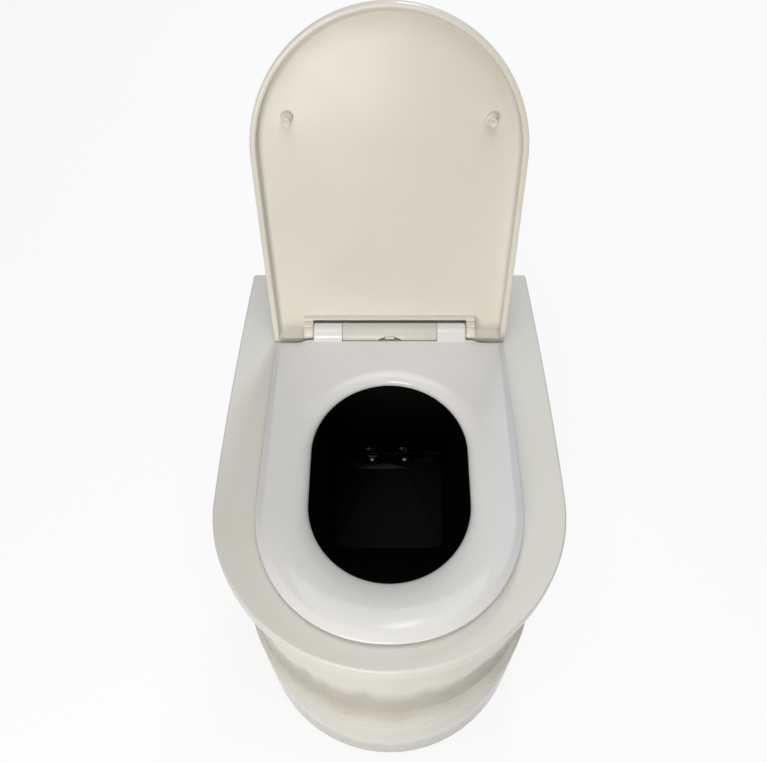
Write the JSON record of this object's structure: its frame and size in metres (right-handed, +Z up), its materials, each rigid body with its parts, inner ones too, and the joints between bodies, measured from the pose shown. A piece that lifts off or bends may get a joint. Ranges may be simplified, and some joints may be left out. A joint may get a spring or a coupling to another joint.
{
  "type": "incinerating toilet",
  "caption": "Electric incinerating toilet with a hinged seat and lid, a driven flap under a black chute, a burning chamber, an ash pan drawer and a rear flue fan.",
  "frame": {"origin": "on the floor, at the middle of the outline's width and depth with the lid open", "axes": "+Z up, the front of the seat faces -Y, +X to the right as seen from the front"},
  "size_m": [0.483, 0.706, 1.0121],
  "materials": {
    "shell_white": "gloss",
    "seat_white": "gloss",
    "lid_white": "gloss",
    "hinge_plastic": "satin",
    "soft_rubber": "matte",
    "black_rubber": "matte",
    "chute_black": "satin",
    "black_steel": "blackened",
    "heat_steel": "heat tinted",
    "sheet_steel": "galvanised",
    "fixing_steel": "plain",
    "brass_bush": "plain",
    "ceramic_wool": "matte",
    "ceramic_block": "matte",
    "dark_plastic": "matte",
    "red_plastic": "gloss",
    "green_plastic": "gloss",
    "board_green": "matte"
  },
  "bodies": {
    "cabinet": {"deck_cover": "shell_white", "upper_shell": "shell_white", "base_shell": "shell_white", "base_plate": "sheet_steel", "feet": "black_rubber", "rear_panel": "sheet_steel", "panel_screws": "fixing_steel", "drawer_rails": "sheet_steel", "hinge_base": "hinge_plastic", "hinge_cover": "hinge_plastic", "hinge_pins": "fixing_steel", "dampers": "dark_plastic", "hinge_bolts": "fixing_steel", "hinge_nuts": "hinge_plastic", "bowl": "chute_black", "bowl_gasket": "black_rubber", "fixed_leaf": "black_steel", "flap_pin": "fixing_steel", "wall_rivets": "fixing_steel", "shaft_bush": "brass_bush", "gear_motor": "dark_plastic", "motor_bracket": "sheet_steel", "chamber_liner": "heat_steel", "insulation": "ceramic_wool", "chamber_jacket": "sheet_steel", "chamber_stand": "sheet_steel", "heaters": "heat_steel", "thermocouple": "heat_steel", "exhaust_duct": "heat_steel", "catalyst_can": "heat_steel", "catalyst_core": "ceramic_block", "fan_housing": "dark_plastic", "fan_motor": "dark_plastic", "flue_collar": "sheet_steel", "air_grille": "dark_plastic", "power_inlet": "dark_plastic", "switch_bezel": "dark_plastic", "control_box": "sheet_steel", "control_board": "board_green", "start_bezel": "hinge_plastic"},
    "lid": {"lid_shell": "lid_white", "lid_lugs": "lid_white", "lid_buffers": "soft_rubber"},
    "seat": {"seat_ring": "seat_white", "seat_buffers": "soft_rubber"},
    "release_button": {"release_button": "hinge_plastic"},
    "flap": {"moving_leaf": "black_steel", "flap_rivets": "fixing_steel", "flap_plate": "chute_black", "flap_shaft": "black_steel"},
    "ash_drawer": {"drawer_front": "shell_white", "drawer_tray": "sheet_steel", "drawer_runners": "sheet_steel", "ash_pan": "heat_steel", "pan_handle": "dark_plastic"},
    "impeller": {"impeller": "dark_plastic"},
    "switch_rocker": {"switch_rocker": "red_plastic"},
    "start_button": {"start_button": "green_plastic"}
  },
  "joints": [
    {"name": "lid_hinge", "type": "hinge", "parent": "cabinet", "child": "lid", "pos_m": [0, 0.155, 0.556], "axis": [1, 0, 0], "range_deg": [0, 105]},
    {"name": "seat_hinge", "type": "hinge", "parent": "cabinet", "child": "seat", "pos_m": [0, 0.155, 0.556], "axis": [1, 0, 0], "range_deg": [-100, 0]},
    {"name": "release_press", "type": "slide", "parent": "cabinet", "child": "release_button", "axis": [0, 1, 0], "range_m": [0, 0.003], "stiffness_N_per_m": 400},
    {"name": "flap_hinge", "type": "hinge", "parent": "cabinet", "child": "flap", "pos_m": [0, 0.055, 0.358], "axis": [1, 0, 0], "range_deg": [0, 80]},
    {"name": "drawer_slide", "type": "slide", "parent": "cabinet", "child": "ash_drawer", "axis": [0, -1, 0], "range_m": [0, 0.25]},
    {"name": "fan_spin", "type": "hinge", "parent": "cabinet", "child": "impeller", "pos_m": [0, 0.205, 0.3], "axis": [0, 1, 0], "continuous": true},
    {"name": "switch_rock", "type": "hinge", "parent": "cabinet", "child": "switch_rocker", "pos_m": [-0.125, 0.269, 0.205], "axis": [1, 0, 0], "range_deg": [0, 16]},
    {"name": "start_press", "type": "slide", "parent": "cabinet", "child": "start_button", "axis": [-1, 0, 0], "range_m": [0, 0.003], "stiffness_N_per_m": 400}
  ]
}
